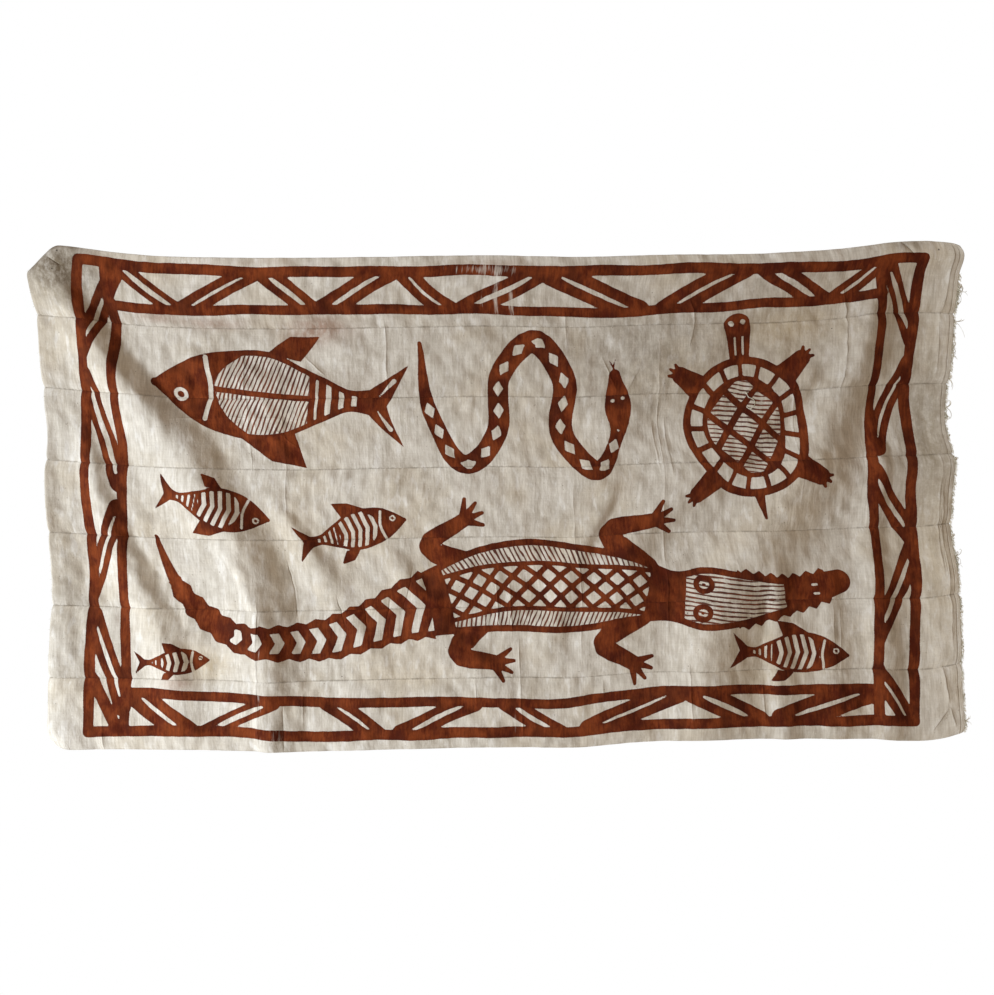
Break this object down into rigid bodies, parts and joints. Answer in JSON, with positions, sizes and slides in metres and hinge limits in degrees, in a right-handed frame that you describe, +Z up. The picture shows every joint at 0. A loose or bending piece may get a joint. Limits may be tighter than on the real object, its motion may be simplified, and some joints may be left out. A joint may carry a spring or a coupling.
{
  "type": "korhogo cloth wall hanging",
  "caption": "Hand-painted cotton hanging sewn from narrow handwoven strips, with soft swag folds, a turned back corner and frayed right ends, held along its top edge.",
  "frame": {"origin": "middle of the top edge, halfway through the cloth, where the hanging is held", "axes": "+X to the right as the painted front is seen, -Y out of the painted front, +Z up"},
  "size_m": [1.3811, 0.0315, 0.7493],
  "materials": {
    "cotton": "coarse plain weave, matte, painted in brown",
    "threads": "loose handspun threads, matte"
  },
  "bodies": {
    "root": {"strip_1": "cotton", "strip_2": "cotton", "strip_3": "cotton", "strip_4": "cotton", "strip_5": "cotton", "strip_6": "cotton", "strip_7": "cotton", "fray_1": "threads", "fray_2": "threads", "fray_3": "threads", "fray_4": "threads", "fray_5": "threads", "fray_6": "threads", "fray_7": "threads"}
  },
  "joints": []
}
